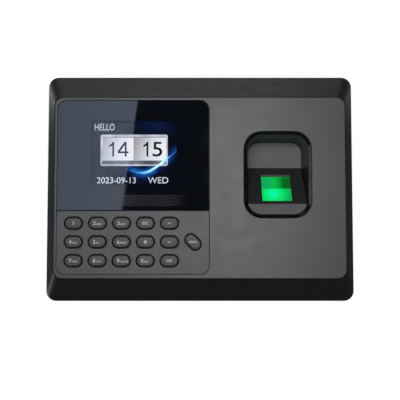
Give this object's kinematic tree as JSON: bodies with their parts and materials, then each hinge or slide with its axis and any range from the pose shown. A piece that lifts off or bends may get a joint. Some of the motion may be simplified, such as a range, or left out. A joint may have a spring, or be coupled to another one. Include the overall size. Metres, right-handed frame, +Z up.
{
  "type": "fingerprint scanner terminal",
  "caption": "Wall-mounted fingerprint terminal: black sloped bezel, grey face, flip-clock display, pill-shaped keypad and a sunk reader window.",
  "frame": {"origin": "on the wall, at the bracket's back face, behind the middle of the rim", "axes": "+X to the right as seen from the front, +Y into the wall (the front faces -Y), +Z up"},
  "size_m": [0.185, 0.0368, 0.136],
  "materials": {
    "case_black": "satin moulded, fine spark texture",
    "face_grey": "fine matt texture",
    "key_grey": "matt, printed legends",
    "lens_glass": "polished, black printed border",
    "display_screen": "lit picture",
    "diffuser": "opal",
    "window_glass": "polished, lit green from behind",
    "zinc_steel": "zinc plated",
    "silicone": "matt",
    "circuit_board": "solder resist",
    "ribbon_amber": "polyimide film",
    "chip_black": "moulded",
    "foam": "open foam",
    "lead_red": "smooth sleeve"
  },
  "bodies": {
    "terminal": {"board_screw_1": "zinc_steel", "board_screw_2": "zinc_steel", "board_screw_3": "zinc_steel", "board_screw_4": "zinc_steel", "case_screw_1": "zinc_steel", "case_screw_2": "zinc_steel", "case_screw_3": "zinc_steel", "case_screw_4": "zinc_steel", "coin_cell": "zinc_steel", "coin_cell_holder": "chip_black", "display_backlight": "diffuser", "display_cell": "display_screen", "display_clamp": "zinc_steel", "display_lens": "lens_glass", "display_ribbon": "ribbon_amber", "face_plate": "face_grey", "front_case": "case_black", "key_mat": "silicone", "keypad_board": "circuit_board", "keypad_plate": "face_grey", "keypad_ribbon": "ribbon_amber", "lock_screw": "zinc_steel", "main_board": "circuit_board", "network_socket": "zinc_steel", "panel_frame": "case_black", "power_jack": "chip_black", "processor": "chip_black", "reader_block": "case_black", "reader_floor": "face_grey", "reader_housing": "case_black", "reader_lamp_board": "circuit_board", "reader_lip": "face_grey", "reader_ribbon": "ribbon_amber", "reader_window": "window_glass", "rear_case": "case_black", "sensor_board": "circuit_board", "sensor_lens": "chip_black", "speaker": "chip_black", "speaker_gasket": "foam", "speaker_lead": "lead_red", "usb_socket": "zinc_steel", "wall_bracket": "zinc_steel"},
    "key_0_cap": {"key_0": "key_grey"},
    "key_1_cap": {"key_1": "key_grey"},
    "key_2_cap": {"key_2": "key_grey"},
    "key_3_cap": {"key_3": "key_grey"},
    "key_4_cap": {"key_4": "key_grey"},
    "key_5_cap": {"key_5": "key_grey"},
    "key_6_cap": {"key_6": "key_grey"},
    "key_7_cap": {"key_7": "key_grey"},
    "key_8_cap": {"key_8": "key_grey"},
    "key_9_cap": {"key_9": "key_grey"},
    "key_down_cap": {"key_down": "key_grey"},
    "key_esc_cap": {"key_esc": "key_grey"},
    "key_hash_cap": {"key_hash": "key_grey"},
    "key_menu_cap": {"key_menu": "key_grey"},
    "key_ok_cap": {"key_ok": "key_grey"},
    "key_up_cap": {"key_up": "key_grey"}
  },
  "joints": [
    {"name": "key_0_travel", "type": "slide", "parent": "terminal", "child": "key_0_cap", "axis": [0, 1, 0], "range_m": [0, 0.0009], "stiffness_N_per_m": 400, "springref_m": -0.0005},
    {"name": "key_1_travel", "type": "slide", "parent": "terminal", "child": "key_1_cap", "axis": [0, 1, 0], "range_m": [0, 0.0009], "stiffness_N_per_m": 400, "springref_m": -0.0005},
    {"name": "key_2_travel", "type": "slide", "parent": "terminal", "child": "key_2_cap", "axis": [0, 1, 0], "range_m": [0, 0.0009], "stiffness_N_per_m": 400, "springref_m": -0.0005},
    {"name": "key_3_travel", "type": "slide", "parent": "terminal", "child": "key_3_cap", "axis": [0, 1, 0], "range_m": [0, 0.0009], "stiffness_N_per_m": 400, "springref_m": -0.0005},
    {"name": "key_4_travel", "type": "slide", "parent": "terminal", "child": "key_4_cap", "axis": [0, 1, 0], "range_m": [0, 0.0009], "stiffness_N_per_m": 400, "springref_m": -0.0005},
    {"name": "key_5_travel", "type": "slide", "parent": "terminal", "child": "key_5_cap", "axis": [0, 1, 0], "range_m": [0, 0.0009], "stiffness_N_per_m": 400, "springref_m": -0.0005},
    {"name": "key_6_travel", "type": "slide", "parent": "terminal", "child": "key_6_cap", "axis": [0, 1, 0], "range_m": [0, 0.0009], "stiffness_N_per_m": 400, "springref_m": -0.0005},
    {"name": "key_7_travel", "type": "slide", "parent": "terminal", "child": "key_7_cap", "axis": [0, 1, 0], "range_m": [0, 0.0009], "stiffness_N_per_m": 400, "springref_m": -0.0005},
    {"name": "key_8_travel", "type": "slide", "parent": "terminal", "child": "key_8_cap", "axis": [0, 1, 0], "range_m": [0, 0.0009], "stiffness_N_per_m": 400, "springref_m": -0.0005},
    {"name": "key_9_travel", "type": "slide", "parent": "terminal", "child": "key_9_cap", "axis": [0, 1, 0], "range_m": [0, 0.0009], "stiffness_N_per_m": 400, "springref_m": -0.0005},
    {"name": "key_down_travel", "type": "slide", "parent": "terminal", "child": "key_down_cap", "axis": [0, 1, 0], "range_m": [0, 0.0009], "stiffness_N_per_m": 400, "springref_m": -0.0005},
    {"name": "key_esc_travel", "type": "slide", "parent": "terminal", "child": "key_esc_cap", "axis": [0, 1, 0], "range_m": [0, 0.0009], "stiffness_N_per_m": 400, "springref_m": -0.0005},
    {"name": "key_hash_travel", "type": "slide", "parent": "terminal", "child": "key_hash_cap", "axis": [0, 1, 0], "range_m": [0, 0.0009], "stiffness_N_per_m": 400, "springref_m": -0.0005},
    {"name": "key_menu_travel", "type": "slide", "parent": "terminal", "child": "key_menu_cap", "axis": [0, 1, 0], "range_m": [0, 0.0009], "stiffness_N_per_m": 400, "springref_m": -0.0005},
    {"name": "key_ok_travel", "type": "slide", "parent": "terminal", "child": "key_ok_cap", "axis": [0, 1, 0], "range_m": [0, 0.0009], "stiffness_N_per_m": 400, "springref_m": -0.0005},
    {"name": "key_up_travel", "type": "slide", "parent": "terminal", "child": "key_up_cap", "axis": [0, 1, 0], "range_m": [0, 0.0009], "stiffness_N_per_m": 400, "springref_m": -0.0005}
  ]
}
